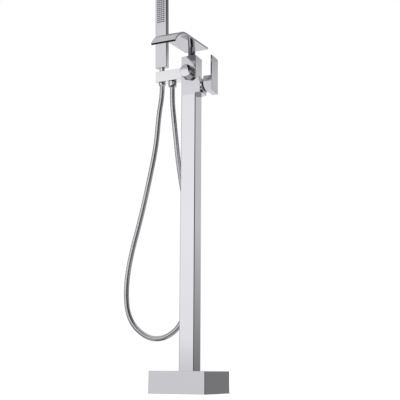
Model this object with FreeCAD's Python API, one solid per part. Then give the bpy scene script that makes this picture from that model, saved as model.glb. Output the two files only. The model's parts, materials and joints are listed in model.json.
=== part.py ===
import FreeCAD, Part
import math
import os

# Floor standing bath filler with a hand shower. Millimetres, +Z up, front is -Y,
# the column stands on the origin.

Vec = FreeCAD.Vector
os.makedirs("parts", exist_ok=True)

# ---------------------------------------------------------------- dimensions
# floor fixing
PLATE = 118.0          # square floor plate
GASKET_T = 2.0
PLATE_T = 8.0
BOLT_PITCH = 92.0      # floor bolt square
BOLT_R = 4.5
INLET_X = 40.0         # hot and cold inlets, left and right of the column
INLET_R = 9.3          # female half inch thread
INLET_DEEP = 14.0
PIPE_Z = 28.0          # height of the pipes' horizontal runs
PIPE_X = 8.5           # half pitch of the pipes inside the column
PIPE_R = 6.0
BEND_R = 14.0

# base cover
COVER = 146.8
COVER_H = 52.7
COVER_WALL = 1.5
COVER_HOLE = 40.6

# column
COL = 40.0
COL_WALL = 2.0
COL_Z0 = GASKET_T + PLATE_T
COL_Z1 = 742.6

# valve body on top of the column
BODY_Z1 = 847.5
SPIGOT = 35.6
SPIGOT_DEEP = 20.0
EXT_X1 = 33.0          # side block that takes the cartridge
EXT_Z0, EXT_Z1 = 746.5, 786.5
LEVER_Z = 766.5        # cartridge axis, along X
DIV_Z = 801.5          # diverter axis, along Y
CART_R = 17.7
NECK_R = 9.5
NECK_BORE_R = 9.58

# lever
DOME_R = 19.5
PIVOT_X = 22.0
BLOCK_X0, BLOCK_X1 = 42.0, 65.4
BLADE_X0 = 62.2
BLADE_Z1 = 840.3
STEM_R = 4.0

# diverter knob
KNOB_Y0, KNOB_Y1 = -20.4, -39.5
KNOB_R0, KNOB_R1 = 19.5, 16.5

# shower arm, a square bar to the left
ARM_X0 = -98.0
ARM_HALF_Y = 13.5
ARM_Z0, ARM_Z1 = 791.6, 820.4
ARM_Z = 0.5 * (ARM_Z0 + ARM_Z1)
HOLD_X = -85.4         # axis of the hand shower's seat
OUT_X = -55.0          # axis of the hose outlet
LEAN = 1.9             # the hand shower leans forward, degrees

# spout, a flat hollow blade
SPOUT_HALF_X = 32.7
SPOUT_A, SPOUT_B = 880.96, 0.080   # top line z = A + B*y
SPOUT_Y1 = 30.5
SPOUT_Y0 = -98.9      # where the front curve starts
SPOUT_R = 84.0
SPOUT_LIP = 60.0       # how far round the front curve the lip is, from +Z
SPOUT_T = 5.2
SHEET = 0.8
SIDE = 1.0

# hand shower
HS_HALF_X = 16.2
HS_Y0, HS_Y1 = -8.0, 7.0
HS_Z0, HS_Z1 = 833.0, 1038.0
NOZZLE_PITCH_X = 5.75
NOZZLE_PITCH_Z = 5.46
NOZZLE_TOP = 1025.5
NOZZLE_ROWS = 13
NOZZLE_COLS = 4

# hose
HOSE_R = 6.5
HOSE_ROUTE = [
    (HOLD_X, 0.8, 783.0), (HOLD_X, 1.7, 757.0), (-94, 1, 709), (-103, 7, 630),
    (-120, 7, 545), (-145, 9, 441), (-176, 9, 332), (-187, 10, 249),
    (-179, 16, 177), (-131, 20, 133), (-82, 19, 129), (-41, 23, 155),
    (-24, 34, 204), (-10, 34, 292), (-11, 34, 363), (-28, 37, 445),
    (-42, 17, 559), (-49, 5, 666), (-55, 3, 722), (OUT_X, 0, 752.0),
    (OUT_X, 0, 775.5),
]


# ---------------------------------------------------------------- helpers
def box(x0, x1, y0, y1, z0, z1):
    return Part.makeBox(x1 - x0, y1 - y0, z1 - z0, Vec(x0, y0, z0))


def square(half, z0, z1):
    return box(-half, half, -half, half, z0, z1)


def rod(r, a, b):
    a, b = Vec(*a), Vec(*b)
    d = b - a
    return Part.makeCylinder(r, d.Length, a, d)


def cone(r0, r1, a, b):
    a, b = Vec(*a), Vec(*b)
    d = b - a
    return Part.makeCone(r0, r1, d.Length, a, d)


def ring(ro, ri, a, b):
    return rod(ro, a, b).cut(rod(ri, a, b))


def fillet(shape, r, pick):
    edges = [e for e in shape.Edges if pick(e)]
    if not edges:
        print("no edge to round", r)
        return shape
    try:
        out = shape.makeFillet(r, edges)
        if out.isValid() and out.Volume > 0:
            return out
    except Exception as err:
        print("fillet left out:", r, err)
    return shape


def along(e, axis):
    if not isinstance(e.Curve, (Part.Line, Part.LineSegment)):
        return False
    d = e.Vertexes[-1].Point - e.Vertexes[0].Point
    return d.Length > 1e-6 and abs(getattr(d, axis)) > 0.999 * d.Length


def near(value, *targets):
    return any(abs(value - t) < 0.02 for t in targets)


def leaned(shape):
    # turns a piece built upright on the seat's axis to the leaning axis
    out = shape.copy()
    out.rotate(Vec(HOLD_X, 0, ARM_Z), Vec(1, 0, 0), LEAN)
    return out


def one(shape):
    solids = shape.Solids
    if len(solids) == 1:
        return solids[0]
    return max(solids, key=lambda s: s.Volume)


def save(name, *shapes):
    solids = []
    for s in shapes:
        s = s.removeSplitter()
        if len(s.Solids) != 1:
            print("WARNING", name, "has", len(s.Solids), "solids in one piece")
        solids += s.Solids
    shape = solids[0] if len(solids) == 1 else Part.makeCompound(solids)
    if not shape.isValid():
        print("WARNING", name, "is not valid")
    b = shape.BoundBox
    print("%-22s %2d solids %10.1f mm3  x %.1f %.1f  y %.1f %.1f  z %.1f %.1f" % (
        name, len(solids), shape.Volume, b.XMin, b.XMax, b.YMin, b.YMax, b.ZMin, b.ZMax))
    shape.exportStep("parts/%s.step" % name)


# ---------------------------------------------------------------- floor fixing
def floor_pad(z0, z1):
    p = square(PLATE / 2, z0, z1)
    p = fillet(p, 5.0, lambda e: along(e, "z"))
    for sx in (-1, 1):
        for sy in (-1, 1):
            x, y = sx * BOLT_PITCH / 2, sy * BOLT_PITCH / 2
            p = p.cut(rod(BOLT_R, (x, y, z0 - 1), (x, y, z1 + 1)))
        p = p.cut(rod(15.0, (sx * INLET_X, 0, z0 - 1), (sx * INLET_X, 0, z1 + 1)))
    return p


save("floor_gasket", floor_pad(0, GASKET_T))
save("floor_plate", floor_pad(GASKET_T, COL_Z0))

collar = square(26.0, COL_Z0, 34.0).cut(square(20.1, COL_Z0 - 1, 35.0))
collar = fillet(collar, 1.5, lambda e: along(e, "z") and abs(e.Vertexes[0].X) > 25 and abs(e.Vertexes[0].Y) > 25)
for s in (-1, 1):
    collar = collar.cut(box(min(s * 19, s * 28), max(s * 19, s * 28), -7.2, 7.2, 18.0, 35.0))
    collar = collar.cut(rod(3.0, (0, s * 19, 22.0), (0, s * 28, 22.0)))
    collar = collar.cut(rod(17.4, (s * INLET_X, 0, COL_Z0 - 1), (s * INLET_X, 0, 14.4)))
save("column_collar", collar)

collar_screws = []
for s in (-1, 1):
    head = rod(5.0, (0, s * 26.0, 22.0), (0, s * 29.5, 22.0))
    head = head.cut(rod(1.8, (0, s * 27.5, 22.0), (0, s * 30.0, 22.0)))
    collar_screws.append(head.fuse(rod(3.0, (0, s * 17.0, 22.0), (0, s * 26.0, 22.0))))
save("collar_screws", *collar_screws)

# ---------------------------------------------------------------- column
tube = square(COL / 2, COL_Z0, COL_Z1)
tube = fillet(tube, 0.8, lambda e: along(e, "z"))
tube = tube.cut(square(COL / 2 - COL_WALL, COL_Z0 - 1, COL_Z1 + 1))
for s in (-1, 1):
    tube = tube.cut(box(min(s * 17, s * 21), max(s * 17, s * 21), -7.2, 7.2, COL_Z0 - 1, 40.0))
    tube = tube.cut(rod(3.0, (0, s * 17, 22.0), (0, s * 21, 22.0)))
SCREW_Z = 732.0
SCREW_X = 9.0
for s in (-1, 1):
    tube = tube.cut(rod(2.0, (s * SCREW_X, 17, SCREW_Z), (s * SCREW_X, 21, SCREW_Z)))
save("column_tube", tube)

# ---------------------------------------------------------------- pipework
for name, s in (("inlet_elbow_hot", -1), ("inlet_elbow_cold", 1)):
    x = s * INLET_X
    e = rod(7.8, (x, 0, 12.0), (x, 0, 38.0))
    e = fillet(e, 2.0, lambda q: near(q.BoundBox.ZMin, 38.0))
    e = e.fuse(rod(13.0, (x, 0, 2.0), (x, 0, 18.0)))
    e = e.fuse(rod(17.0, (x, 0, COL_Z0), (x, 0, 14.0)))
    e = e.fuse(rod(8.0, (x, 0, PIPE_Z), (s * 32.0, 0, PIPE_Z)).fuse(
        rod(8.0, (s * 32.0, 0, PIPE_Z), (s * 27.5, 0, PIPE_Z))))
    e = e.cut(rod(INLET_R, (x, 0, 1.0), (x, 0, 2.0 + INLET_DEEP)))
    e = e.cut(rod(5.0, (x, 0, 10.0), (x, 0, PIPE_Z)))
    e = e.cut(rod(5.0, (x + s * 2.0, 0, PIPE_Z), (s * 26.0, 0, PIPE_Z)))
    e = e.cut(rod(PIPE_R, (s * 37.0, 0, PIPE_Z), (s * 26.0, 0, PIPE_Z)))
    save(name, e)


def supply(s):
    x0, x1 = s * 37.0, s * PIPE_X
    bend = s * (PIPE_X + BEND_R)
    c = BEND_R * (1 - math.sqrt(0.5))
    path = Part.Wire([
        Part.LineSegment(Vec(x0, 0, PIPE_Z), Vec(bend, 0, PIPE_Z)).toShape(),
        Part.Arc(Vec(bend, 0, PIPE_Z),
                 Vec(x1 + s * c, 0, PIPE_Z + c),
                 Vec(x1, 0, PIPE_Z + BEND_R)).toShape(),
        Part.LineSegment(Vec(x1, 0, PIPE_Z + BEND_R), Vec(x1, 0, 737.5)).toShape()])
    out = []
    for r in (PIPE_R, PIPE_R - 1.0):
        circle = Part.Wire([Part.Circle(Vec(x0, 0, PIPE_Z), Vec(1, 0, 0), r).toShape()])
        out.append(path.makePipeShell([circle], True, False))
    return out[0].cut(out[1])


save("supply_pipe_hot", supply(-1))
save("supply_pipe_cold", supply(1))

nuts = []
orings = []
for s in (-1, 1):
    pts = [Vec(s * 27.0, 10.0 * math.cos(math.radians(60 * i)), PIPE_Z + 10.0 * math.sin(math.radians(60 * i)))
           for i in range(7)]
    hexa = Part.Face(Part.makePolygon(pts)).extrude(Vec(s * 5.0, 0, 0))
    nuts.append(hexa.cut(rod(8.0, (s * 26, 0, PIPE_Z), (s * 33, 0, PIPE_Z))).fuse(
        ring(8.0, PIPE_R, (s * 27.0, 0, PIPE_Z), (s * 27.5, 0, PIPE_Z))))
    orings.append(ring(7.6, PIPE_R, (s * PIPE_X, 0, 727.0), (s * PIPE_X, 0, 729.4)))
save("pipe_nuts", *nuts)
save("pipe_orings", *orings)

# ---------------------------------------------------------------- valve body
body = square(COL / 2, COL_Z1, BODY_Z1)
body = body.fuse(box(10, EXT_X1, -COL / 2, COL / 2, EXT_Z0, EXT_Z1)).removeSplitter()
body = fillet(body, 0.8, lambda e: (along(e, "z") and near(abs(e.Vertexes[0].Y), 20.0)
                                    and (near(e.Vertexes[0].X, -20.0, EXT_X1)
                                         or (near(e.Vertexes[0].X, 20.0)
                                             and not (e.BoundBox.ZMin > EXT_Z0 - 1 and e.BoundBox.ZMax < EXT_Z1 + 1))))
              or (near(e.BoundBox.ZMin, BODY_Z1) and near(e.BoundBox.ZMax, BODY_Z1)))
body = body.fuse(square(SPIGOT / 2, COL_Z1 - SPIGOT_DEEP, COL_Z1 + 1))
for s in (-1, 1):
    x = s * PIPE_X
    body = body.cut(rod(6.05, (x, 0, 720.0), (x, 0, 738.0)))
    body = body.cut(rod(7.6, (x, 0, 727.0), (x, 0, 729.4)))
    body = body.cut(rod(4.0, (x, 0, 737.0), (x, 0, 752.0)))
    body = body.cut(rod(2.0, (s * SCREW_X, 8.0, SCREW_Z), (s * SCREW_X, 19.0, SCREW_Z)))
body = body.cut(rod(CART_R, (-12.0, 0, LEVER_Z), (EXT_X1 + 2, 0, LEVER_Z)))
body = body.cut(rod(5.0, (0, 0, 782.0), (0, 0, 793.5)))
body = body.cut(rod(9.5, (0, -22.0, DIV_Z), (0, 8.0, DIV_Z)))
body = body.cut(rod(5.0, (0, 0, 810.0), (0, 0, 827.0)))
body = body.cut(rod(NECK_BORE_R, (0, 0, 825.5), (0, 0, 850.0)))
body = body.cut(rod(8.0, (-22.0, 0, ARM_Z), (-12.0, 0, ARM_Z)))
body = body.cut(rod(4.0, (-13.0, 0, ARM_Z), (-6.0, 0, ARM_Z)))
RET_Z = 835.0
body = body.cut(rod(2.5, (0, 9.0, RET_Z), (0, 22.0, RET_Z)))
save("valve_body", body)

screws = []
for s in (-1, 1):
    x = s * SCREW_X
    head = rod(3.6, (x, 20.0, SCREW_Z), (x, 22.0, SCREW_Z))
    head = fillet(head, 0.8, lambda e: near(e.BoundBox.YMin, 22.0))
    head = head.cut(rod(1.3, (x, 20.8, SCREW_Z), (x, 23.0, SCREW_Z)))
    screws.append(head.fuse(rod(2.0, (x, 8.5, SCREW_Z), (x, 20.0, SCREW_Z))))
save("body_screws", *screws)

# ---------------------------------------------------------------- cartridge
cart = rod(17.6, (-11.5, 0, LEVER_Z), (17.0, 0, LEVER_Z))
cart = cart.cut(rod(12.0, (-9.5, 0, LEVER_Z), (6.0, 0, LEVER_Z)))
cart = cart.cut(rod(9.0, (8.0, 0, LEVER_Z), (18.0, 0, LEVER_Z)))
cart = cart.cut(rod(5.0, (-2.0, 0, LEVER_Z), (-2.0, 0, LEVER_Z + 19)))
cart = cart.cut(rod(2.4, (-8.5 + 1.0, 0, LEVER_Z - 19), (-8.5 + 1.0, 0, LEVER_Z - 8)))
cart = cart.cut(box(1.0, 12.0, -4.0, 4.0, LEVER_Z - 19, LEVER_Z - 15.2))
cart = cart.cut(rod(2.4, (3.4, 0, LEVER_Z - 17), (3.4, 0, LEVER_Z - 8)))
save("cartridge_body", cart)
save("cartridge_gasket", ring(17.4, 10.0, (-12.0, 0, LEVER_Z), (-11.5, 0, LEVER_Z)))
save("cartridge_nut", ring(17.6, 12.0, (17.0, 0, LEVER_Z), (30.0, 0, LEVER_Z)))

# the dome collar's half section, turned about the cartridge axis
prof = [(EXT_X1, 11.0), (EXT_X1, DOME_R), (36.4, DOME_R)]
p = [Vec(x, 0, LEVER_Z + r) for x, r in prof]
arc_mid = Vec(38.5, 0, LEVER_Z + 16.9)
arc_end = Vec(39.2, 0, LEVER_Z + 12.6)
end = Vec(39.2, 0, LEVER_Z + 11.0)
wire = Part.Wire([Part.LineSegment(p[0], p[1]).toShape(),
                  Part.LineSegment(p[1], p[2]).toShape(),
                  Part.Arc(p[2], arc_mid, arc_end).toShape(),
                  Part.LineSegment(arc_end, end).toShape(),
                  Part.LineSegment(end, p[0]).toShape()])
dome = Part.Face(wire).revolve(Vec(0, 0, LEVER_Z), Vec(1, 0, 0), 360)
dome = dome.fuse(ring(17.6, 12.5, (30.0, 0, LEVER_Z), (34.0, 0, LEVER_Z)))
save("cartridge_dome", dome)

rotor = rod(8.92, (8.2, 0, LEVER_Z), (26.0, 0, LEVER_Z))
rotor = rotor.cut(box(13.0, 27.0, -4.1, 4.1, LEVER_Z - 10, LEVER_Z + 10))
rotor = rotor.cut(rod(1.2, (PIVOT_X, -10, LEVER_Z), (PIVOT_X, 10, LEVER_Z)))
save("cartridge_rotor", rotor)
save("lever_pivot_pin", rod(1.2, (PIVOT_X, -8.2, LEVER_Z), (PIVOT_X, 8.2, LEVER_Z)))

stem = rod(STEM_R, (14.0, 0, LEVER_Z), (58.0, 0, LEVER_Z))
stem = fillet(stem, 1.0, lambda e: near(e.BoundBox.XMin, 14.0) and near(e.BoundBox.XMax, 14.0))
stem = stem.cut(rod(1.28, (PIVOT_X, -10, LEVER_Z), (PIVOT_X, 10, LEVER_Z)))
save("cartridge_stem", stem)

# ---------------------------------------------------------------- lever
y0 = -COL / 2
pts = [(BLADE_X0, BLADE_Z1), (BLOCK_X1, BLADE_Z1), (BLOCK_X1, EXT_Z0), (50.0, EXT_Z0)]
lines = [Part.LineSegment(Vec(pts[i][0], y0, pts[i][1]), Vec(pts[i + 1][0], y0, pts[i + 1][1])).toShape()
         for i in range(3)]
lines.append(Part.Arc(Vec(50.0, y0, EXT_Z0), Vec(44.06, y0, 757.06), Vec(BLOCK_X0, y0, 769.0)).toShape())
rest = [(BLOCK_X0, 769.0), (BLOCK_X0, EXT_Z1), (BLADE_X0, EXT_Z1), (BLADE_X0, BLADE_Z1)]
lines += [Part.LineSegment(Vec(rest[i][0], y0, rest[i][1]), Vec(rest[i + 1][0], y0, rest[i + 1][1])).toShape()
          for i in range(3)]
lever = Part.Face(Part.Wire(lines)).extrude(Vec(0, COL, 0))
lever = fillet(lever, 0.6, lambda e: (along(e, "z") and near(e.Vertexes[0].X, BLOCK_X1))
               or (along(e, "y") and near(e.Vertexes[0].X, BLOCK_X1))
               or (near(e.BoundBox.ZMin, BLADE_Z1) and along(e, "y")))
lever = lever.cut(rod(15.0, (BLOCK_X0 - 2, 0, LEVER_Z), (48.0, 0, LEVER_Z)))
lever = lever.cut(rod(STEM_R + 0.02, (47.0, 0, LEVER_Z), (60.0, 0, LEVER_Z)))
lever = lever.cut(rod(2.5, (54.0, 2.0, LEVER_Z), (54.0, 18.0, LEVER_Z)))
lever = lever.cut(rod(2.9, (54.0, 17.0, LEVER_Z), (54.0, 21.0, LEVER_Z)))
save("lever_handle", lever)
grub = rod(2.5, (54.0, 4.0, LEVER_Z), (54.0, 14.0, LEVER_Z)).cut(
    rod(1.2, (54.0, 11.0, LEVER_Z), (54.0, 15.0, LEVER_Z)))
save("lever_screw", grub)
save("lever_plug", rod(2.9, (54.0, 17.0, LEVER_Z), (54.0, 19.9, LEVER_Z)))

# ---------------------------------------------------------------- diverter
sleeve = rod(9.45, (0, -18.0, DIV_Z), (0, 7.6, DIV_Z))
sleeve = sleeve.cut(rod(4.08, (0, -19.0, DIV_Z), (0, -4.0, DIV_Z)))
sleeve = sleeve.cut(rod(6.2, (0, -5.0, DIV_Z), (0, 6.2, DIV_Z)))
sleeve = sleeve.cut(rod(4.0, (0, 0, DIV_Z - 12), (0, 0, DIV_Z + 12)))
sleeve = sleeve.cut(rod(3.0, (0, 0, DIV_Z + 1.5), (-12, 0, DIV_Z + 1.5)))
save("diverter_sleeve", sleeve)
dstem = rod(STEM_R, (0, -36.0, DIV_Z), (0, 5.6, DIV_Z))
dstem = dstem.cut(box(-5, 5, -3.6, 3.6, DIV_Z - 5, DIV_Z - 0.4))
save("diverter_stem", dstem)
knob = cone(KNOB_R0, KNOB_R1, (0, KNOB_Y0, DIV_Z), (0, KNOB_Y1, DIV_Z))
knob = fillet(knob, 1.0, lambda e: near(e.BoundBox.YMin, KNOB_Y1) and near(e.BoundBox.YMax, KNOB_Y1))
hollow = cone(KNOB_R0 - 2.2, KNOB_R1 - 1.6, (0, KNOB_Y0 + 0.5, DIV_Z), (0, -35.5, DIV_Z))
hollow = hollow.cut(rod(7.5, (0, -23.0, DIV_Z), (0, -40.0, DIV_Z)))
knob = knob.cut(hollow)
knob = knob.cut(rod(STEM_R + 0.02, (0, -19.0, DIV_Z), (0, -36.2, DIV_Z)))
knob = knob.cut(rod(2.0, (0, -30.0, DIV_Z - 2), (0, -30.0, DIV_Z - 24)))
save("diverter_knob", knob)
save("knob_screw", rod(2.0, (0, -30.0, DIV_Z - 4.0), (0, -30.0, DIV_Z - 12.0)))

# ---------------------------------------------------------------- shower arm
arm = box(ARM_X0, -COL / 2, -ARM_HALF_Y, ARM_HALF_Y, ARM_Z0, ARM_Z1)
arm = fillet(arm, 0.6, lambda e: not near(e.CenterOfMass.x, -COL / 2))
arm = arm.cut(rod(8.0, (-31.0, 0, ARM_Z), (-19.0, 0, ARM_Z)))
arm = arm.cut(rod(5.0, (-58.0, 0, ARM_Z), (-30.0, 0, ARM_Z)))
arm = arm.cut(rod(7.2, (OUT_X, 0, ARM_Z0 - 1), (OUT_X, 0, 803.0)))
SEAT_R0, SEAT_R1 = 8.9, 9.9
SEAT_SLOPE = (SEAT_R1 - SEAT_R0) / (ARM_Z1 - ARM_Z0)
seat = cone(SEAT_R0 - 3 * SEAT_SLOPE, SEAT_R1 + 3 * SEAT_SLOPE,
            (HOLD_X, 0, ARM_Z0 - 3), (HOLD_X, 0, ARM_Z1 + 3))
arm = arm.cut(leaned(seat))
save("shower_arm", arm)
save("arm_nipple", ring(8.0, 5.0, (-30.5, 0, ARM_Z), (-12.5, 0, ARM_Z)))

outlet = rod(7.2, (OUT_X, 0, 781.0), (OUT_X, 0, 802.0)).cut(rod(4.2, (OUT_X, 0, 780.0), (OUT_X, 0, 803.0)))
save("hose_outlet", outlet)
save("check_valve", ring(4.2, 1.6, (OUT_X, 0, 785.0), (OUT_X, 0, 796.0)))
save("outlet_washer", ring(7.0, 4.2, (OUT_X, 0, 779.6), (OUT_X, 0, 781.0)))
HOSE_LOW_Z = 775.5
low = rod(10.8, (OUT_X, 0, 779.0), (OUT_X, 0, 791.2))
low = fillet(low, 0.6, lambda e: near(e.BoundBox.ZMin, 791.2))
low = low.fuse(cone(HOSE_R + 0.2, 10.8, (OUT_X, 0, HOSE_LOW_Z), (OUT_X, 0, 779.0)))
low = low.cut(rod(7.2, (OUT_X, 0, 779.6), (OUT_X, 0, 792.0)))
low = low.cut(rod(4.0, (OUT_X, 0, 775.0), (OUT_X, 0, 780.0)))
save("hose_nut_lower", low)

# ---------------------------------------------------------------- hand shower, built upright, then leaned
UP_Z = 783.0
G = 0.3
r_at = lambda z: SEAT_R0 + (z - ARM_Z0) * SEAT_SLOPE - G
up = cone(r_at(ARM_Z0), r_at(819.6), (HOLD_X, 0, ARM_Z0), (HOLD_X, 0, 819.6))
up = up.fuse(rod(r_at(ARM_Z0), (HOLD_X, 0, 786.0), (HOLD_X, 0, ARM_Z0)))
up = up.fuse(cone(HOSE_R + 0.2, r_at(ARM_Z0), (HOLD_X, 0, UP_Z), (HOLD_X, 0, 786.0)))
up = up.cut(rod(7.08, (HOLD_X, 0, 800.0), (HOLD_X, 0, 821.0)))
up = up.cut(rod(4.0, (HOLD_X, 0, 780.0), (HOLD_X, 0, 801.0)))
save("hose_nut_upper", leaned(up))
save("handset_washer", leaned(ring(6.4, 4.0, (HOLD_X, 0, 800.0), (HOLD_X, 0, 801.5))))

inlet = rod(7.0, (HOLD_X, 0, 801.8), (HOLD_X, 0, HS_Z0))
inlet = inlet.fuse(rod(4.8, (HOLD_X, -1.0, HS_Z0), (HOLD_X, -1.0, 842.0)))
inlet = inlet.cut(rod(3.4, (HOLD_X, -0.5, 800.0), (HOLD_X, -0.5, 843.0)))
save("handset_inlet", leaned(inlet))

shell = box(HOLD_X - HS_HALF_X, HOLD_X + HS_HALF_X, HS_Y0, HS_Y1, HS_Z0, HS_Z1)
shell = fillet(shell, 1.6, lambda e: along(e, "z"))
shell = fillet(shell, 0.8, lambda e: near(e.BoundBox.ZMin, HS_Z0, HS_Z1) and near(e.BoundBox.ZMax, HS_Z0, HS_Z1))
shell = shell.cut(box(HOLD_X - 14.4, HOLD_X + 14.4, HS_Y0 + 1.5, HS_Y1 - 1.5, HS_Z0 + 3.0, HS_Z1 - 2.5))
shell = shell.cut(rod(4.8, (HOLD_X, -1.0, HS_Z0 - 1), (HOLD_X, -1.0, HS_Z0 + 4)))
WIN_X, WIN_Z0, WIN_Z1 = 12.6, 952.0, 1033.5
shell = shell.cut(box(HOLD_X - WIN_X, HOLD_X + WIN_X, HS_Y0 - 1, HS_Y0 + 2, WIN_Z0, WIN_Z1))
save("handset_shell", leaned(shell))

face = box(HOLD_X - WIN_X, HOLD_X + WIN_X, HS_Y0, HS_Y0 + 1.5, WIN_Z0, WIN_Z1)
membrane = box(HOLD_X - WIN_X - 0.8, HOLD_X + WIN_X + 0.8, HS_Y0 + 1.5, HS_Y0 + 2.5, WIN_Z0 - 0.8, WIN_Z1 + 0.8)
holes, pips, jets = [], [], []
for i in range(NOZZLE_COLS):
    for j in range(NOZZLE_ROWS):
        x = HOLD_X + (i - (NOZZLE_COLS - 1) / 2) * NOZZLE_PITCH_X
        z = NOZZLE_TOP - j * NOZZLE_PITCH_Z
        holes.append(rod(1.15, (x, HS_Y0 - 1, z), (x, HS_Y0 + 2, z)))
        pips.append(rod(1.1, (x, HS_Y0 - 0.4, z), (x, HS_Y0 + 2, z)))
        jets.append(rod(0.45, (x, HS_Y0 - 1, z), (x, HS_Y0 + 3, z)))
face = face.cut(Part.makeCompound(holes))
membrane = membrane.multiFuse(pips).cut(Part.makeCompound(jets))
save("handset_face", leaned(face))
save("nozzle_membrane", leaned(membrane))
water = ring(5.8, 4.8, (HOLD_X, -1.0, HS_Z0 + 3.0), (HOLD_X, -1.0, WIN_Z0 - 1.2))
water = water.common(box(HOLD_X - 10, HOLD_X + 10, HS_Y0 + 1.6, HS_Y1 - 1.6, 800, 1000))
save("handset_water_tube", leaned(water))

# ---------------------------------------------------------------- spout
nx = SPOUT_B / math.hypot(1, SPOUT_B)
nz = -1 / math.hypot(1, SPOUT_B)
top = lambda y: SPOUT_A + SPOUT_B * y
CY = SPOUT_Y0 + SPOUT_R * nx
CZ = top(SPOUT_Y0) + SPOUT_R * nz
a0 = math.atan2(-nz, -nx)                       # where the curve leaves the straight
a1 = math.radians(90 + SPOUT_LIP)               # the lip


def blade(d0, d1, hx, back, lip):
    # solid between two offsets below the top surface, hx half wide, from the lip to the back
    def pt(r, a):
        return Vec(-hx, CY + r * math.cos(a), CZ + r * math.sin(a))

    def off(y, d):
        return Vec(-hx, y + d * nx, top(y) + d * nz)
    ra, rb = SPOUT_R - d0, SPOUT_R - d1
    m = 0.5 * (a0 + lip)
    yb = lambda d: back - d * nx
    a_b, a_s = off(yb(d0), d0), pt(ra, a0)
    b_b, b_s = off(yb(d1), d1), pt(rb, a0)
    w = Part.Wire([
        Part.LineSegment(a_b, a_s).toShape(),
        Part.Arc(a_s, pt(ra, m), pt(ra, lip)).toShape(),
        Part.LineSegment(pt(ra, lip), pt(rb, lip)).toShape(),
        Part.Arc(pt(rb, lip), pt(rb, m), b_s).toShape(),
        Part.LineSegment(b_s, b_b).toShape(),
        Part.LineSegment(b_b, a_b).toShape()])
    return Part.Face(w).extrude(Vec(2 * hx, 0, 0))


hull = blade(0, SPOUT_T, SPOUT_HALF_X, SPOUT_Y1, a1)
hull = fillet(hull, 1.5, lambda e: near(e.BoundBox.YMin, SPOUT_Y1) and near(e.BoundBox.YMax, SPOUT_Y1)
              and abs(e.BoundBox.ZMax - e.BoundBox.ZMin) > 4)
lid = hull.common(blade(-0.5, SHEET, SPOUT_HALF_X + 1, SPOUT_Y1 + 2, a1 + 0.02))
room = blade(SHEET, SPOUT_T - SHEET, SPOUT_HALF_X - SIDE, SPOUT_Y1 - SIDE, a1 + 0.05)
tray = hull.cut(blade(-0.5, SHEET, SPOUT_HALF_X + 1, SPOUT_Y1 + 2, a1 + 0.02)).cut(room)
tray = tray.cut(rod(7.2, (0, 0, 860.0), (0, 0, 879.5)))
save("spout_lid", lid)
save("spout_tray", tray)

under = blade(SPOUT_T, SPOUT_T + 60.0, SPOUT_HALF_X + 10, SPOUT_Y1 + 10, a1)
neck = rod(NECK_R, (0, 0, 826.0), (0, 0, 890.0)).cut(rod(7.2, (0, 0, 825.0), (0, 0, 891.0)))
neck = neck.cut(box(-40, 40, -40, 60, 860, 900).cut(
    Part.Face(Part.makePolygon([Vec(-50, -45, 800), Vec(-50, 65, 800),
                                Vec(-50, 65 + SPOUT_T * nx, top(65) + SPOUT_T * nz),
                                Vec(-50, -45 + SPOUT_T * nx, top(-45) + SPOUT_T * nz),
                                Vec(-50, -45, 800)])).extrude(Vec(100, 0, 0))))
for z0, z1 in ((828.6, 831.0), (839.0, 841.4)):
    neck = neck.cut(ring(12.0, 8.3, (0, 0, z0), (0, 0, z1)))
neck = neck.cut(ring(12.0, 8.3, (0, 0, RET_Z - 1.7), (0, 0, RET_Z + 1.7)))
save("neck_tube", neck)
save("neck_orings", ring(9.54, 8.3, (0, 0, 828.6), (0, 0, 831.0)), ring(9.54, 8.3, (0, 0, 839.0), (0, 0, 841.4)))
ret = rod(2.5, (0, 10.0, RET_Z), (0, 19.6, RET_Z)).fuse(rod(1.5, (0, 8.7, RET_Z), (0, 10.0, RET_Z)))
ret = ret.cut(rod(1.1, (0, 17.0, RET_Z), (0, 20.0, RET_Z)))
save("neck_retainer_screw", ret)

# two ribs and a cross bar inside the blade spread the water over the lip's width
ribs = None
inner = blade(SHEET, SPOUT_T - SHEET, SPOUT_HALF_X - SIDE, SPOUT_Y1 - SIDE, a1)
for x in (-20.5, -12.0, 12.0, 20.5):
    r = inner.common(box(x - 0.5, x + 0.5, -140.0, -18.0, 800.0, 900.0))
    ribs = r if ribs is None else ribs.fuse(r)
bar = inner.common(box(-21.0, 21.0, -80.0, -78.5, 800.0, 900.0))
ribs = ribs.fuse(bar)
save("spout_flow_guide", ribs)

# ---------------------------------------------------------------- base cover
cover = square(COVER / 2, 0, COVER_H)
cover = fillet(cover, 1.0, lambda e: along(e, "z") or near(e.BoundBox.ZMin, COVER_H))
cover = cover.cut(square(COVER / 2 - COVER_WALL, -1, COVER_H - COVER_WALL))
cover = cover.cut(square(COVER_HOLE / 2, 0, COVER_H + 1))
save("base_cover", cover)
save("cover_seal", square(26.0, 48.6, COVER_H - COVER_WALL).cut(square(20.15, 40.0, 60.0)))


# ---------------------------------------------------------------- hose
def route_wire(points):
    pts = [Vec(*p) for p in points]
    edges = []
    last = pts[0]
    for i in range(1, len(pts) - 1):
        a, b = pts[i] - pts[i - 1], pts[i + 1] - pts[i]
        la, lb = a.Length, b.Length
        a.normalize()
        b.normalize()
        turn = a.getAngle(b)
        radius = 0.45 * min(la, lb) / math.tan(turn / 2)
        cut = radius * math.tan(turn / 2)
        s, e = pts[i] - a * cut, pts[i] + b * cut
        inward = b - a
        inward.normalize()
        m = pts[i] + inward * (radius / math.cos(turn / 2) - radius)
        edges.append(Part.LineSegment(last, s).toShape())
        edges.append(Part.Arc(s, m, e).toShape())
        print("hose corner %2d: runs %.1f and %.1f, turn %.1f deg, radius %.1f" % (
            i, la, lb, math.degrees(turn), radius))
        last = e
    edges.append(Part.LineSegment(last, pts[-1]).toShape())
    return Part.Wire(edges)


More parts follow.
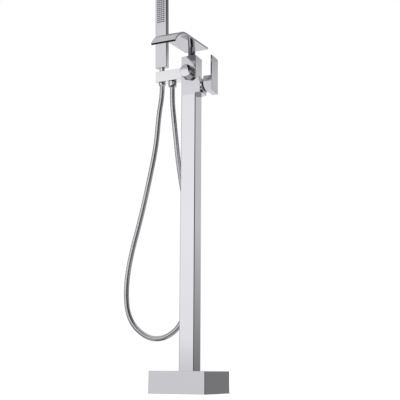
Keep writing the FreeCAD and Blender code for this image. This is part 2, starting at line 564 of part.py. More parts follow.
wire = route_wire(HOSE_ROUTE)
start = Vec(*HOSE_ROUTE[0])
heading = Vec(*HOSE_ROUTE[1]) - start
heading.normalize()
circle = Part.Wire([Part.Circle(start, heading, HOSE_R).toShape()])
hose = wire.makePipeShell([circle], True, False)
print("hose length %.1f, tube volume %.0f, section x length %.0f" % (
    wire.Length, hose.Volume, math.pi * HOSE_R ** 2 * wire.Length))
save("shower_hose", hose)
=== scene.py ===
import json
import math

import bmesh
import bpy
from mathutils import Matrix, Vector


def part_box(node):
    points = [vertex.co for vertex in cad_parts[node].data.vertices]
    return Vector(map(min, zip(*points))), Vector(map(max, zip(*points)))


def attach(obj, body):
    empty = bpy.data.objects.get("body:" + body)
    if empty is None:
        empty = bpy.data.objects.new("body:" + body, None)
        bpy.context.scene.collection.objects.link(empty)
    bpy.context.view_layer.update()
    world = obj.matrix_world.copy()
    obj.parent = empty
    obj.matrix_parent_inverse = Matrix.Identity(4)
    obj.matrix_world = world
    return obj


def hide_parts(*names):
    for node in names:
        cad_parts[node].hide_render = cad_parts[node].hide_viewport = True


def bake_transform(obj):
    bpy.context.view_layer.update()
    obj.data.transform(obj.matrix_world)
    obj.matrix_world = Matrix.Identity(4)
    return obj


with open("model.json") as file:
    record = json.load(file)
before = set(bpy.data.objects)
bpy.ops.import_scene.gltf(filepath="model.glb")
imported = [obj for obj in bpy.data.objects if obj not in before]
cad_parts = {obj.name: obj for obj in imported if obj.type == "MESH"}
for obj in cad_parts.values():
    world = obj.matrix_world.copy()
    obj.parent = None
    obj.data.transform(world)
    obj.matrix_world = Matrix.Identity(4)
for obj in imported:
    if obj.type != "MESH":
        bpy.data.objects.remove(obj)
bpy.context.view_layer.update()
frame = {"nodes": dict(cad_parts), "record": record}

scene = bpy.context.scene
MM = 0.001


# ------------------------------------------------------------------ camera
def put_camera():
    psi, tilt, roll = math.radians(24.57), math.radians(11.8), math.radians(0.27)
    f = Vector((-math.sin(psi) * math.cos(tilt), math.cos(psi) * math.cos(tilt), math.sin(tilt)))
    r = Vector((math.cos(psi), math.sin(psi), 0.0))
    u = r.cross(f)
    r2 = math.cos(roll) * r + math.sin(roll) * u
    u2 = -math.sin(roll) * r + math.cos(roll) * u
    m = Matrix((r2, u2, -f)).transposed().to_4x4()
    m.translation = Vector((0.8533, -1.8111, 0.0537))
    data = bpy.data.cameras.new("camera")
    data.sensor_width = 36.0
    data.lens = 36.0 * 816.7 / 400.0
    data.clip_start, data.clip_end = 0.05, 200.0
    cam = bpy.data.objects.new("camera", data)
    cam.matrix_world = m
    scene.collection.objects.link(cam)
    scene.camera = cam


put_camera()


# ------------------------------------------------------------------ node helpers
def nodes_of(mat):
    mat.use_nodes = True
    t = mat.node_tree
    t.nodes.clear()
    return t


def add(t, kind, **inputs):
    n = t.nodes.new(kind)
    for k, v in inputs.items():
        n.inputs[k.replace("_", " ")].default_value = v
    return n


def link(t, a, out, b, inp):
    t.links.new(a.outputs[out], b.inputs[inp])


def math_node(t, op, a=None, b=None):
    n = t.nodes.new("ShaderNodeMath")
    n.operation = op
    for i, v in enumerate((a, b)):
        if v is None:
            continue
        if isinstance(v, (int, float)):
            n.inputs[i].default_value = v
        else:
            t.links.new(v, n.inputs[i])
    return n.outputs[0]


def ramp_node(t, fac, stops, interpolation="LINEAR"):
    n = t.nodes.new("ShaderNodeValToRGB")
    n.color_ramp.interpolation = interpolation
    e = n.color_ramp.elements
    while len(e) > 1:
        e.remove(e[-1])
    e[0].position = stops[0][0]
    e[0].color = stops[0][1]
    for p, c in stops[1:]:
        s = e.new(p)
        s.color = c
    t.links.new(fac, n.inputs["Fac"])
    return n


def noise(t, coord, scale, detail=3.0, rough=0.5):
    n = t.nodes.new("ShaderNodeTexNoise")
    n.inputs["Scale"].default_value = scale
    n.inputs["Detail"].default_value = detail
    n.inputs["Roughness"].default_value = rough
    t.links.new(coord, n.inputs["Vector"])
    return n


def span(t, value, a, b, lo, hi):
    n = t.nodes.new("ShaderNodeMapRange")
    for k, v in (("From Min", a), ("From Max", b), ("To Min", lo), ("To Max", hi)):
        n.inputs[k].default_value = v
    t.links.new(value, n.inputs["Value"])
    return n.outputs["Result"]


def grey(v, tint=(1.0, 1.0, 1.0)):
    return (v * tint[0], v * tint[1], v * tint[2], 1.0)


# ------------------------------------------------------------------ materials
def metal(name, colour, rough, wave=0.00003, wave_scale=9.0, fine=0.0, fine_scale=900.0, tint=0.02):
    """Polished or satin metal: slow waviness left by polishing, faint smears in the gloss."""
    mat = bpy.data.materials.new(name)
    t = nodes_of(mat)
    out = add(t, "ShaderNodeOutputMaterial")
    s = add(t, "ShaderNodeBsdfPrincipled", Metallic=1.0)
    link(t, s, "BSDF", out, "Surface")
    co = add(t, "ShaderNodeTexCoord").outputs["Object"]
    smear = noise(t, co, 38.0, 4.0, 0.6)
    t.links.new(span(t, smear.outputs["Fac"], 0.3, 0.72, rough[0], rough[1]), s.inputs["Roughness"])
    c0 = tuple(c * (1 - tint) for c in colour)
    patch = noise(t, co, 14.0, 2.0, 0.5)
    r = ramp_node(t, patch.outputs["Fac"], [(0.3, (*c0, 1.0)), (0.7, (*colour, 1.0))])
    link(t, r, "Color", s, "Base Color")
    slow = noise(t, co, wave_scale, 1.5, 0.4)
    b = t.nodes.new("ShaderNodeBump")
    b.inputs["Strength"].default_value = 1.0
    b.inputs["Distance"].default_value = wave
    t.links.new(slow.outputs["Fac"], b.inputs["Height"])
    normal = b
    if fine:
        n2 = noise(t, co, fine_scale, 2.0, 0.6)
        b2 = t.nodes.new("ShaderNodeBump")
        b2.inputs["Strength"].default_value = 1.0
        b2.inputs["Distance"].default_value = fine
        t.links.new(n2.outputs["Fac"], b2.inputs["Height"])
        link(t, b, "Normal", b2, "Normal")
        normal = b2
    link(t, normal, "Normal", s, "Normal")
    return mat


def moulded(name, colour, rough=(0.4, 0.55), grain=0.00004, grain_scale=700.0, spread=0.15):
    mat = bpy.data.materials.new(name)
    t = nodes_of(mat)
    out = add(t, "ShaderNodeOutputMaterial")
    s = add(t, "ShaderNodeBsdfPrincipled")
    link(t, s, "BSDF", out, "Surface")
    co = add(t, "ShaderNodeTexCoord").outputs["Object"]
    n = noise(t, co, 60.0, 4.0, 0.6)
    c0 = tuple(c * (1 - spread) for c in colour)
    r = ramp_node(t, n.outputs["Fac"], [(0.3, (*c0, 1.0)), (0.7, (*colour, 1.0))])
    link(t, r, "Color", s, "Base Color")
    t.links.new(span(t, n.outputs["Fac"], 0.3, 0.7, rough[0], rough[1]), s.inputs["Roughness"])
    g = noise(t, co, grain_scale, 3.0, 0.6)
    b = t.nodes.new("ShaderNodeBump")
    b.inputs["Distance"].default_value = grain
    t.links.new(g.outputs["Fac"], b.inputs["Height"])
    link(t, b, "Normal", s, "Normal")
    return mat


CHROME = metal("chrome", (0.80, 0.80, 0.825), (0.012, 0.05))
# darker copies of the same chrome for the body, lever and hand shower and a brighter one for the arm: painted shade and
# painted light for how the light falls on each part, not a different plating; only the roughness spread is finish
CHROME_BODY_SHADED = metal("chrome_body_shaded", (0.70, 0.70, 0.725), (0.05, 0.11), wave=0.00004)
CHROME_LEVER_SHADED = metal("chrome_lever_shaded", (0.64, 0.64, 0.668), (0.05, 0.11), wave=0.00004)
CHROME_HAND_SHADED = metal("chrome_hand_shower_shaded", (0.655, 0.655, 0.685), (0.03, 0.07))
CHROME_ARM_LIT = metal("chrome_arm_lit", (0.86, 0.86, 0.875), (0.012, 0.05))
HOSE = metal("hose_chrome", (0.76, 0.76, 0.785), (0.03, 0.08), wave=0.00002)
STEEL = metal("steel", (0.60, 0.60, 0.61), (0.22, 0.34), fine=0.00001)
BRASS = metal("brass", (0.70, 0.55, 0.30), (0.2, 0.32), fine=0.00001)
RUBBER = moulded("rubber", (0.035, 0.035, 0.036), (0.55, 0.75))
NOZZLE = moulded("nozzle_rubber", (0.035, 0.035, 0.038), (0.35, 0.5))
PLASTIC = moulded("plastic", (0.78, 0.78, 0.76), (0.3, 0.42))
BY_SLOT = {"chrome": CHROME, "hose": HOSE, "steel": STEEL, "brass": BRASS,
           "rubber": RUBBER, "nozzle_rubber": NOZZLE, "plastic": PLASTIC}

slot_of = {s["node"]: s.get("material_slot") for s in frame["record"]["subparts"]}
for node, obj in frame["nodes"].items():
    mat = BY_SLOT.get(slot_of.get(node), CHROME)
    if not obj.material_slots:
        obj.data.materials.append(mat)
    for ms in obj.material_slots:
        ms.material = mat


def mesh_piece(name, verts, faces, mat, smooth=True):
    me = bpy.data.meshes.new(name)
    me.from_pydata([tuple(v) for v in verts], [], faces)
    me.validate()
    me.update()
    o = bpy.data.objects.new(name, me)
    scene.collection.objects.link(o)
    me.materials.append(mat)
    if smooth:
        for p in me.polygons:
            p.use_smooth = True
    return o


# ------------------------------------------------------------------ hose
# the route, in metres, from the hand shower's nut round the column's back to the arm's outlet
HOSE_ROUTE = [
    (-0.0854, 0.0008, 0.783), (-0.0854, 0.0017, 0.757), (-0.094, 0.001, 0.709),
    (-0.103, 0.007, 0.630), (-0.120, 0.007, 0.545), (-0.145, 0.009, 0.441),
    (-0.176, 0.009, 0.332), (-0.187, 0.010, 0.249), (-0.179, 0.016, 0.177),
    (-0.131, 0.020, 0.133), (-0.082, 0.019, 0.129), (-0.041, 0.023, 0.155),
    (-0.024, 0.034, 0.204), (-0.010, 0.034, 0.292), (-0.011, 0.034, 0.363),
    (-0.028, 0.037, 0.445), (-0.042, 0.017, 0.559), (-0.049, 0.005, 0.666),
    (-0.055, 0.003, 0.722), (-0.055, 0.0, 0.752), (-0.055, 0.0, 0.7755),
]
HOSE_R = 0.0065
HOSE_PITCH = 0.0034


def spline_points(route, res=48):
    cu = bpy.data.curves.new("route", "CURVE")
    cu.dimensions = "3D"
    sp = cu.splines.new("NURBS")
    sp.points.add(len(route) - 1)
    for p, q in zip(sp.points, route):
        p.co = (*q, 1.0)
    sp.order_u = 3
    sp.use_endpoint_u = True
    sp.resolution_u = res
    o = bpy.data.objects.new("route", cu)
    scene.collection.objects.link(o)
    bpy.context.view_layer.update()
    me = bpy.data.meshes.new_from_object(o)
    pts = [v.co.copy() for v in me.vertices]
    bpy.data.objects.remove(o)
    bpy.data.curves.remove(cu)
    bpy.data.meshes.remove(me)
    return pts


class Line:
    """A polyline with a frame that turns no more than it has to."""

    def __init__(self, pts):
        self.p = pts
        self.s = [0.0]
        for a, b in zip(pts, pts[1:]):
            self.s.append(self.s[-1] + (b - a).length)
        self.length = self.s[-1]
        self.t = []
        for i in range(len(pts)):
            a, b = pts[max(i - 1, 0)], pts[min(i + 1, len(pts) - 1)]
            self.t.append((b - a).normalized())
        n = self.t[0].orthogonal().normalized()
        self.n = [n]
        for i in range(1, len(pts)):
            q = self.t[i - 1].rotation_difference(self.t[i])
            n = q @ self.n[-1]
            n = (n - n.dot(self.t[i]) * self.t[i]).normalized()
            self.n.append(n)
        self.i = 0

    def at(self, s):
        s = min(max(s, 0.0), self.length)
        i = self.i
        while i > 0 and self.s[i] > s:
            i -= 1
        while i < len(self.s) - 2 and self.s[i + 1] < s:
            i += 1
        self.i = i
        w = (s - self.s[i]) / max(self.s[i + 1] - self.s[i], 1e-12)
        p = self.p[i].lerp(self.p[i + 1], w)
        t = self.t[i].lerp(self.t[i + 1], w).normalized()
        n = self.n[i].lerp(self.n[i + 1], w)
        n = (n - n.dot(t) * t).normalized()
        return p, t, n, t.cross(n)


def spiral_hose(name, line, radius, pitch, mat, around=24):
    # one strip wound round the line; its section is a rounded crown and a narrow groove
    section = [(0.0, 0.950), (0.03, 0.980), (0.07, 0.995), (0.11, 0.9995), (0.30, 1.0), (0.66, 1.0), (0.85, 0.9995),
               (0.89, 0.995), (0.93, 0.980), (0.96, 0.950)]
    turns = int(line.length / pitch) + 2
    rows = around * turns
    verts, faces = [], []
    k = len(section)
    for i in range(rows + around + 1):
        a = 2 * math.pi * i / around
        ca, sa = math.cos(a), math.sin(a)
        for u, r in section:
            p, t, n, b = line.at(pitch * (i / around + u - 1.0))
            verts.append(p + (n * ca + b * sa) * (radius * r))
    for i in range(rows):
        for j in range(k):
            a0 = i * k + j
            if j < k - 1:
                a1 = a0 + 1
                b1 = a1 + k
            else:
                a1 = (i + around) * k
                b1 = a1 + k
            faces.append((a0, a1, b1, a0 + k))
    me = bpy.data.meshes.new(name)
    me.from_pydata([tuple(v) for v in verts], [], faces)
    bm = bmesh.new()
    bm.from_mesh(me)
    bmesh.ops.remove_doubles(bm, verts=bm.verts, dist=2e-7)
    bmesh.ops.dissolve_degenerate(bm, dist=1e-7, edges=bm.edges)
    loose = [v for v in bm.verts if not v.link_faces]
    bmesh.ops.delete(bm, geom=loose, context="VERTS")
    rim = [e for e in bm.edges if e.is_boundary]
    bmesh.ops.holes_fill(bm, edges=rim, sides=0)
    bmesh.ops.recalc_face_normals(bm, faces=bm.faces)
    bm.to_mesh(me)
    bm.free()
    o = bpy.data.objects.new(name, me)
    scene.collection.objects.link(o)
    me.materials.append(mat)
    for p in me.polygons:
        p.use_smooth = len(p.vertices) <= 4
    return o


hose_points = spline_points(HOSE_ROUTE)
hose_line = Line(hose_points)
hose = spiral_hose("spiral_hose", hose_line, HOSE_R, HOSE_PITCH, HOSE)
print("hose centreline", round(hose_line.length, 4), "faces", len(hose.data.polygons))
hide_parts("shower_hose")
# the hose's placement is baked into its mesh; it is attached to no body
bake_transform(hose)


# ------------------------------------------------------------------ smooth metal pieces
def settle(o, angle=33.0, merge=2e-6):
    """Welds the mesh, marks its hard edges, and lets the flats keep their own normals beside the rounded edges."""
    bm = bmesh.new()
    bm.from_mesh(o.data)
    bmesh.ops.remove_doubles(bm, verts=bm.verts, dist=merge)
    bmesh.ops.dissolve_degenerate(bm, dist=merge, edges=bm.edges)
    bmesh.ops.delete(bm, geom=[v for v in bm.verts if not v.link_faces], context="VERTS")
    bmesh.ops.recalc_face_normals(bm, faces=bm.faces)
    limit = math.radians(angle)
    for e in bm.edges:
        e.smooth = len(e.link_faces) == 2 and e.calc_face_angle(0.0) < limit
    for f in bm.faces:
        f.smooth = True
    bm.to_mesh(o.data)
    bm.free()
    w = o.modifiers.new("normals", "WEIGHTED_NORMAL")
    w.keep_sharp = True
    w.weight = 90
    return o


def place(o, node, body):
    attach(o, body)
    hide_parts(node)
    return o


body_of = {n: b for b, ns in frame["record"]["behaviour"]["bodies"].items() for n in ns}


def polished(node, mat=CHROME, angle=33.0):
    """The same solid as the node, with its rounded edges and curves shaded smooth."""
    src = frame["nodes"][node]
    me = bpy.data.meshes.new(node + "_polished")
    me.from_pydata([tuple(v.co) for v in src.data.vertices], [], [tuple(p.vertices) for p in src.data.polygons])
    o = bpy.data.objects.new(node + "_polished", me)
    scene.collection.objects.link(o)
    me.materials.append(mat)
    settle(o, angle)
    return place(o, node, body_of[node])


def arc(cx, cy, r, a0, a1, n=8):
    return [(cx + r * math.cos(math.radians(a0 + (a1 - a0) * i / n)),
             cy + r * math.sin(math.radians(a0 + (a1 - a0) * i / n))) for i in range(n + 1)]


def lathe(name, profile, mat, origin=(0, 0, 0), axis="Z", around=96, lean=0.0, pivot=(0, 0, 0)):
    """profile is a closed loop of (radius, height) in mm, turned about the axis through origin."""
    verts, faces = [], []
    k = len(profile)
    for i in range(around):
        a = 2 * math.pi * i / around
        c, s = math.cos(a), math.sin(a)
        for r, h in profile:
            if axis == "Z":
                v = Vector((r * c, r * s, h))
            elif axis == "X":
                v = Vector((h, r * c, r * s))
            else:
                v = Vector((r * s, h, r * c))
            verts.append(v + Vector(origin))
    for i in range(around):
        for j in range(k):
            faces.append((i * k + j, i * k + (j + 1) % k, ((i + 1) % around) * k + (j + 1) % k, ((i + 1) % around) * k + j))
    if lean:
        q = Matrix.Rotation(math.radians(lean), 3, "X")
        verts = [q @ (v - Vector(pivot)) + Vector(pivot) for v in verts]
    o = mesh_piece(name, [v * MM for v in verts], faces, mat)
    return settle(o)


HOLD_X, ARM_Z, LEAN = -85.4, 806.0, 1.9
SEAT = (HOLD_X, 0.0, ARM_Z)
LEVER_Z, DIV_Z, OUT_X = 766.5, 801.5, -55.0
SPOUT_A, SPOUT_B, SPOUT_R, SPOUT_Y0, SPOUT_Y1, SPOUT_HALF, SPOUT_T, SPOUT_LIP = 880.96, 0.080, 84.0, -98.9, 30.5, 32.7, 5.2, 60.0
NX = SPOUT_B / math.hypot(1, SPOUT_B)
NZ = -1 / math.hypot(1, SPOUT_B)



def rounded_block(half, corner, z0, z1, top=0.0, n=7):
    """A square block with rounded upright corners and, if top is given, a rounded upper edge."""
    rings = [(z0, 0.0), (z1 - top, 0.0)]
    if top:
        rings += [(z1 - top + top * math.sin(math.radians(90.0 * i / 6)), top * (1 - math.cos(math.radians(90.0 * i / 6))))
                  for i in range(1, 7)]
    verts, faces = [], []
    for z, inset in rings:
        r = max(corner - inset, 0.3)
        c = half - inset - r
        for q, (sx, sy) in enumerate(((1, 1), (-1, 1), (-1, -1), (1, -1))):
            for x, y in arc(sx * c, sy * c, r, 90.0 * q, 90.0 * (q + 1), n):
                verts.append(Vector((x, y, z)) * MM)
    k = 4 * (n + 1)
    for i in range(len(rings) - 1):
        for j in range(k):
            faces.append((i * k + j, i * k + (j + 1) % k, (i + 1) * k + (j + 1) % k, (i + 1) * k + j))
    faces.append(tuple(reversed(range(k))))
    faces.append(tuple(range((len(rings) - 1) * k, len(rings) * k)))
    return mesh_piece("block", verts, faces, CHROME)


def softened(node, block, mat=CHROME):
    """The node's solid with its outer edges taken back to the rounded block."""
    o = polished(node, mat)
    o.modifiers.clear()
    m = o.modifiers.new("round", "BOOLEAN")
    m.operation = "INTERSECT"
    m.solver = "EXACT"
    m.object = block
    bpy.context.view_layer.update()
    me = bpy.data.meshes.new_from_object(o.evaluated_get(bpy.context.evaluated_depsgraph_get()))
    o.modifiers.clear()
    old, o.data = o.data, me
    bpy.data.meshes.remove(old)
    bpy.data.objects.remove(block)
    me.materials.clear()
    me.materials.append(mat)
    for p in me.polygons:
        p.material_index = 0
    return settle(o)


# each part's metal: the darker and brighter chrome copies are painted shade and painted light; the screws get plain
# steel
SHADED_CHROME_AND_STEEL = {"valve_body": CHROME_BODY_SHADED, "lever_handle": CHROME_LEVER_SHADED, "shower_arm": CHROME_ARM_LIT, "handset_shell": CHROME_HAND_SHADED,
         "handset_face": CHROME_HAND_SHADED, "body_screws": STEEL, "neck_retainer_screw": STEEL}
for node in ("valve_body", "shower_arm", "lever_handle", "handset_shell", "handset_face", "body_screws",
             "neck_retainer_screw"):
    polished(node, SHADED_CHROME_AND_STEEL.get(node, CHROME))
low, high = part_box("base_cover")
softened("base_cover", rounded_block(high[0] / MM + 0.01, 2.2, -5.0, high[2] / MM + 0.01, 1.3))
low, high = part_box("column_tube")
softened("column_tube", rounded_block(high[0] / MM + 0.01, 2.6, -5.0, high[2] / MM + 5.0))

# neck: a turned tube with two grooves for its seals and one for the retaining screw
groove = []
for z0, z1 in ((828.6, 831.0), (833.3, 836.7), (839.0, 841.4)):
    groove += [(9.5, z0), (8.3, z0), (8.3, z1), (9.5, z1)]
neck = lathe("neck_turned", [(7.2, 826.0), (9.2, 826.0), (9.5, 826.3)] + groove + [(9.5, 880.0), (7.2, 880.0)], CHROME)
for v in neck.data.vertices:
    if v.co.z > 0.86:
        y = v.co.y / MM
        v.co.z = (SPOUT_A + SPOUT_B * (y + SPOUT_T * NX) - SPOUT_T * 1.0 + 0.1) * MM
place(neck, "neck_tube", "spout")

# dome collar round the lever's stem
dome_arc = [(19.5, 33.0), (19.5, 36.0)]
for i in range(15):
    a = math.radians(90.0 * i / 14)
    dome_arc.append((12.6 + 6.9 * math.cos(a), 36.0 + 3.2 * math.sin(a)))
dome = lathe("dome_collar", [(17.6, 33.0)] + dome_arc + [(11.3, 39.2), (11.0, 38.9), (11.0, 33.0), (12.5, 33.0),
                             (12.5, 30.0), (17.6, 30.0)], CHROME, (0, 0, LEVER_Z), "X")
place(dome, "cartridge_dome", "root")

# diverter knob
knob_prof = [(19.2, -20.4), (19.45, -20.7)]
tip = arc(15.55, -37.8, 1.0, 8.0, -85.0, 8)
knob_prof += tip + [(15.6 * (1 - i / 12), -39.5 + 0.7 * (1 - i / 12) ** 2) for i in range(1, 12)] + \
    [(0.0, -39.5), (0.0, -36.2), (4.02, -36.2), (4.02, -20.4), (7.5, -20.9), (7.5, -35.5), (15.1, -35.5),
                    (17.4, -20.9), (17.5, -20.4)]
knob = lathe("knob_turned", knob_prof, CHROME, (0, 0, DIV_Z), "Y", around=128)
place(knob, "diverter_knob", "diverter")

# nuts of the hose and the hand shower's inlet
low_nut = lathe("arm_nut", [(4.0, 775.5), (6.5, 775.5), (6.8, 775.8), (10.5, 778.6), (10.8, 779.2), (10.8, 790.7), (10.3, 791.2),
                            (7.2, 791.2), (7.2, 779.6), (4.0, 779.6)], CHROME, (OUT_X, 0, 0))
place(low_nut, "hose_nut_lower", "root")
slope = (9.9 - 8.9) / (820.4 - 791.6)
rr = lambda z: 8.9 + (z - 791.6) * slope - 0.3
up_nut = lathe("hand_shower_nut", [(4.0, 783.0), (6.5, 783.0), (6.75, 783.2), (8.3, 785.6), (8.6, 786.2), (8.6, 791.6),
                                   (rr(819.2), 819.2), (rr(819.6) - 0.4, 819.6), (7.08, 819.6), (7.08, 800.0), (4.0, 800.0)],
               CHROME, (HOLD_X, 0, 0), lean=LEAN, pivot=SEAT)
place(up_nut, "hose_nut_upper", "hose_end")
inlet = lathe("hand_shower_inlet", [(3.4, 801.8), (7.0, 801.8), (7.0, 822.0), (6.6, 822.4), (6.6, 823.6), (7.0, 824.0),
                                    (7.0, 833.0), (4.8, 833.0), (4.8, 842.0), (3.4, 842.0)],
              CHROME, (HOLD_X, 0, 0), lean=LEAN, pivot=SEAT)
place(inlet, "handset_inlet", "handset")


# spray nozzles: one moulded sheet behind the face with a soft tapered tip in every hole
def spray_sheet():
    verts, faces = [], []

    def ring_tip(x, z):
        prof = [(2.05, -8.02), (2.03, -8.12), (1.70, -8.34), (1.25, -8.40), (0.85, -8.36), (0.52, -8.10), (0.46, -5.6), (1.10, -5.6), (1.10, -8.0)]
        base, k, n = len(verts), len(prof), 20
        for i in range(n):
            a = 2 * math.pi * i / n
            for r, y in prof:
                verts.append(Vector((x + r * math.cos(a), y, z + r * math.sin(a))))
        for i in range(n):
            for j in range(k):
                faces.append((base + i * k + j, base + i * k + (j + 1) % k,
                              base + ((i + 1) % n) * k + (j + 1) % k, base + ((i + 1) % n) * k + j))

    for i in range(4):
        for j in range(13):
            ring_tip(HOLD_X + (i - 1.5) * 5.75, 1025.5 - j * 5.46)
    base = len(verts)
    x0, x1, y0, y1, z0, z1 = HOLD_X - 13.4, HOLD_X + 13.4, -6.5, -5.5, 951.2, 1034.3
    for x in (x0, x1):
        for y in (y0, y1):
            for z in (z0, z1):
                verts.append(Vector((x, y, z)))
    for f in ((0, 1, 3, 2), (4, 6, 7, 5), (0, 4, 5, 1), (2, 3, 7, 6), (0, 2, 6, 4), (1, 5, 7, 3)):
        faces.append(tuple(base + i for i in f))
    q = Matrix.Rotation(math.radians(LEAN), 3, "X")
    verts = [(q @ (v - Vector(SEAT)) + Vector(SEAT)) * MM for v in verts]
    o = mesh_piece("spray_nozzles", verts, faces, NOZZLE)
    settle(o, 40.0, 1e-7)
    place(o, "nozzle_membrane", "handset")


spray_sheet()


# spout: a folded sheet lid on a shallow tray, open at the lip
SPOUT_CY = SPOUT_Y0 + SPOUT_R * NX
SPOUT_CZ = SPOUT_A + SPOUT_B * SPOUT_Y0 + SPOUT_R * NZ
A0 = math.atan2(-NZ, -NX)
A1 = math.radians(90 + SPOUT_LIP)


def spout_at(u, d, lip=0.0, back=0.0):
    """The point at depth d under the top surface; u from 0 at the lip to 1 at the back."""
    bend = 0.62
    if u < bend:
        a = (A1 - lip) + (A0 - (A1 - lip)) * (u / bend)
        r = SPOUT_R - d
        return SPOUT_CY + r * math.cos(a), SPOUT_CZ + r * math.sin(a)
    y = SPOUT_Y0 + (SPOUT_Y1 - back - SPOUT_Y0) * (u - bend) / (1 - bend)
    return y + d * NX * (1 - (u - bend) / (1 - bend)), SPOUT_A + SPOUT_B * y + d * NZ


def spout_sweep(name, section, node, steps=64, back=0.0, mat=CHROME):
    # section is a closed loop of (x, depth)
    verts, faces = [], []
    k = len(section)
    us = [0.62 * i / 44 for i in range(44)] + [0.62 + 0.38 * i / (steps - 44) for i in range(steps - 44 + 1)]
    for u in us:
        for x, d in section:
            y, z = spout_at(u, d, back=back)
            verts.append(Vector((x, y, z)) * MM)
    for i in range(len(us) - 1):
        for j in range(k):
            faces.append((i * k + j, i * k + (j + 1) % k, (i + 1) * k + (j + 1) % k, (i + 1) * k + j))
    faces.append(tuple(range(k)))
    faces.append(tuple(reversed(range((len(us) - 1) * k, len(us) * k))))
    o = mesh_piece(name, verts, faces, mat)
    return o


H = SPOUT_HALF
lid_sec = [(-H + 0.65, 0.0)] + [(H - 0.65, 0.0)] + arc(H - 0.65, 0.65, 0.65, -75, 0, 5) + [(H, 0.78), (-H, 0.78)] + \
    arc(-H + 0.65, 0.65, 0.65, 180, 255, 5)
lid = spout_sweep("spout_top_sheet", lid_sec, "spout_lid")
settle(lid, 30.0)
place(lid, "spout_lid", "spout")

w, b = 0.9, SPOUT_T
tray_sec = [(H - 0.05, 0.86), (H - 0.05, b - 0.6)] + arc(H - 0.65, b - 0.6, 0.6, 0, 90, 5)[1:] + \
    arc(-H + 0.65, b - 0.6, 0.6, 90, 180, 5) + [(-H + 0.05, 0.86), (-H + w, 0.86), (-H + w, b - 0.8), (H - w, b - 0.8), (H - w, 0.86)]
tray = spout_sweep("spout_under_tray", tray_sec, "spout_tray", back=0.0)
# the wall that closes the tray's back end
bm = bmesh.new()
bm.from_mesh(tray.data)
y1, z1 = spout_at(1.0, 0.86)
y2, z2 = spout_at(1.0, b - 0.8)
cube = bmesh.ops.create_cube(bm, size=1.0)["verts"]
bmesh.ops.scale(bm, vec=Vector((2 * (H - w) * MM, 1.0 * MM, (b - 1.66) * MM)), verts=cube)
bmesh.ops.translate(bm, vec=Vector((0, (y1 - 0.52) * MM, 0.5 * (z1 + z2) * MM)), verts=cube)
bm.to_mesh(tray.data)
bm.free()
settle(tray, 30.0)
place(tray, "spout_tray", "spout")


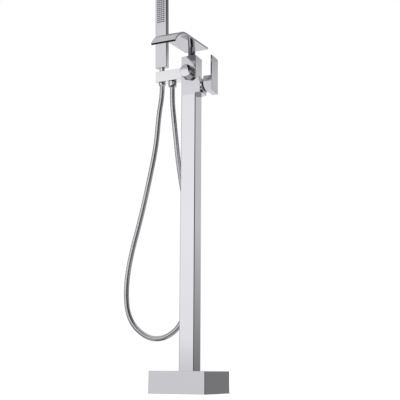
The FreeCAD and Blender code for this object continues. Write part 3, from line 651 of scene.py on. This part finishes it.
# ------------------------------------------------------------------ floor, world, lights
def put_world():
    w = bpy.data.worlds.new("studio")
    scene.world = w
    w.use_nodes = True
    t = w.node_tree
    t.nodes.clear()
    out = add(t, "ShaderNodeOutputWorld")
    d = add(t, "ShaderNodeTexCoord").outputs["Generated"]
    sep = t.nodes.new("ShaderNodeSeparateXYZ")
    t.links.new(d, sep.inputs[0])
    x, y, z = sep.outputs
    az = math_node(t, "ARCTAN2", x, math_node(t, "MULTIPLY", y, -1.0))
    az = span(t, az, -math.pi, math.pi, 0.0, 1.0)
    tint = (1.0, 1.0, 1.015)

    def around(*stops):
        return ramp_node(t, az, [((a + 180.0) / 360.0, grey(v, tint)) for a, v in stops]).outputs["Color"]

    # rings of the studio, from the floor's edge upwards: back wall, side strip and a wide front window, black between
    def ring(front, side, back, left=0.10, wide=True):
        stops = [(-180, back), (-147, back), (-141, 0.06), (-122, left * 0.8)]
        if wide:
            stops += [(-70, left), (-60, front * 0.93), (-42, front * 0.98), (-34, front), (-19, front),
                      (6, front * 0.88), (14, front * 0.4), (20, 0.008), (56, 0.008), (62, 0.04), (82, 0.06),
                      (89, 0.22), (120, 0.24)]
        else:
            stops += [(-50, left), (-42, front * 0.92), (-34, front), (-19, front), (-14, 0.05), (-8, 0.010),
                      (60, 0.010), (84, 0.06), (120, 0.08)]
        return around(*stops, (130, side * 0.5), (139, side), (166, side), (180, back))

    low = ring(0.72, 0.215, 0.45, 0.30)
    skirt = ring(0.93, 0.30, 0.48, 0.36)
    mid = ring(0.98, 0.60, 0.55, 0.34)
    high = ring(0.955, 0.63, 0.56, 0.14)
    rim = ring(0.93, 0.72, 0.56, 0.12)
    slot = ring(0.87, 0.62, 0.52, 0.05, wide=False)
    top = ring(0.80, 0.30, 0.50, 0.06, wide=False)
    over = around((-180, 0.42), (-147, 0.42), (-128, 0.20), (-98, 0.30), (-48, 0.42), (-40, 0.46), (-19, 0.46),
                  (-15, 0.04), (-8, 0.012), (66, 0.012), (90, 0.06), (112, 0.09), (150, 0.12), (170, 0.24), (180, 0.42))
    near = around((-180, 0.64), (-34, 0.64), (-12, 0.60), (2, 0.38), (8, 0.26), (16, 0.20), (38, 0.20), (50, 0.42),
                  (66, 0.60), (180, 0.64))
    apron = around((-180, 0.66), (-165, 0.72), (-147, 0.70), (-139, 0.24), (-62, 0.22), (-47, 0.52), (-36, 0.64),
                   (-21, 0.62), (-15, 0.16), (-4, 0.03), (8, 0.012), (58, 0.02), (74, 0.30), (112, 0.36),
                   (128, 0.46), (139, 0.60), (166, 0.64), (180, 0.66))
    belt = around((-180, 0.70), (-165, 0.92), (-146, 0.92), (-139, 0.16), (-62, 0.14), (-42, 0.20), (-25, 0.18),
                  (-12, 0.05), (-4, 0.025), (48, 0.03), (60, 0.14), (76, 0.28), (140, 0.34), (152, 0.36), (166, 0.55),
                  (180, 0.70))
    lower = around((-180, 0.60), (-152, 0.56), (-140, 0.30), (-60, 0.26), (-42, 0.24), (-25, 0.20), (-12, 0.08),
                   (-4, 0.04), (36, 0.05), (56, 0.40), (80, 0.58), (180, 0.60))

    def mix(fac, a, b):
        n = t.nodes.new("ShaderNodeMix")
        n.data_type = "RGBA"
        t.links.new(fac, n.inputs["Factor"])
        for v, s in ((a, n.inputs["A"]), (b, n.inputs["B"])):
            if isinstance(v, tuple):
                s.default_value = v
            else:
                t.links.new(v, s)
        return n.outputs["Result"]

    def between(lo, hi):
        return span(t, z, math.sin(math.radians(lo)), math.sin(math.radians(hi)), 0.0, 1.0)

    env = mix(between(-0.2, 2.2), low, skirt)
    env = mix(between(2.2, 10), env, mid)
    env = mix(between(11, 18), env, high)
    env = mix(between(18.6, 20), env, rim)
    env = mix(between(20, 21.3), env, slot)
    env = mix(between(21.3, 22.3), env, top)
    env = mix(between(22.3, 26), env, over)
    env = mix(between(42, 56), env, grey(0.62, tint))
    env = mix(between(-7, -2), near, env)
    env = mix(between(-10.5, -8), apron, env)
    env = mix(between(-17.2, -15.6), belt, env)
    env = mix(between(-27, -24.5), lower, env)
    env = mix(between(-38, -34), grey(0.56, tint), env)
    env = mix(between(-62, -50), grey(0.035, tint), env)
    lp = add(t, "ShaderNodeLightPath")
    env = mix(lp.outputs["Is Camera Ray"], env, (1.0, 1.0, 1.0, 1.0))
    bg = add(t, "ShaderNodeBackground")
    t.links.new(env, bg.inputs["Color"])
    link(t, bg, "Background", out, "Surface")


def put_floor():
    me = bpy.data.meshes.new("floor")
    h = 60.0
    me.from_pydata([(-h, -h, 0), (h, -h, 0), (h, h, 0), (-h, h, 0)], [], [(0, 1, 2, 3)])
    o = bpy.data.objects.new("floor", me)
    scene.collection.objects.link(o)
    mat = bpy.data.materials.new("floor")
    t = nodes_of(mat)
    out = add(t, "ShaderNodeOutputMaterial")
    s = add(t, "ShaderNodeBsdfDiffuse", Roughness=0.5)
    co = add(t, "ShaderNodeTexCoord").outputs["Object"]
    n = noise(t, co, 3.0, 3.0, 0.5)
    r = ramp_node(t, n.outputs["Fac"], [(0.3, (0.90, 0.90, 0.90, 1)), (0.7, (0.92, 0.92, 0.92, 1))])
    link(t, r, "Color", s, "Color")
    link(t, s, "BSDF", out, "Surface")
    me.materials.append(mat)
    o.visible_glossy = False


def put_lights():
    sun = bpy.data.lights.new("sky_light", "SUN")
    sun.energy = 3.6
    sun.angle = math.radians(120)
    o = bpy.data.objects.new("sky_light", sun)
    o.rotation_euler = (math.radians(12), math.radians(-8), 0)
    scene.collection.objects.link(o)
    o.visible_glossy = False


put_world()
put_floor()
put_lights()
scene.view_settings.view_transform = "Standard"
scene.view_settings.look = "None"
scene.view_settings.exposure = 0.0
scene.view_settings.gamma = 1.0
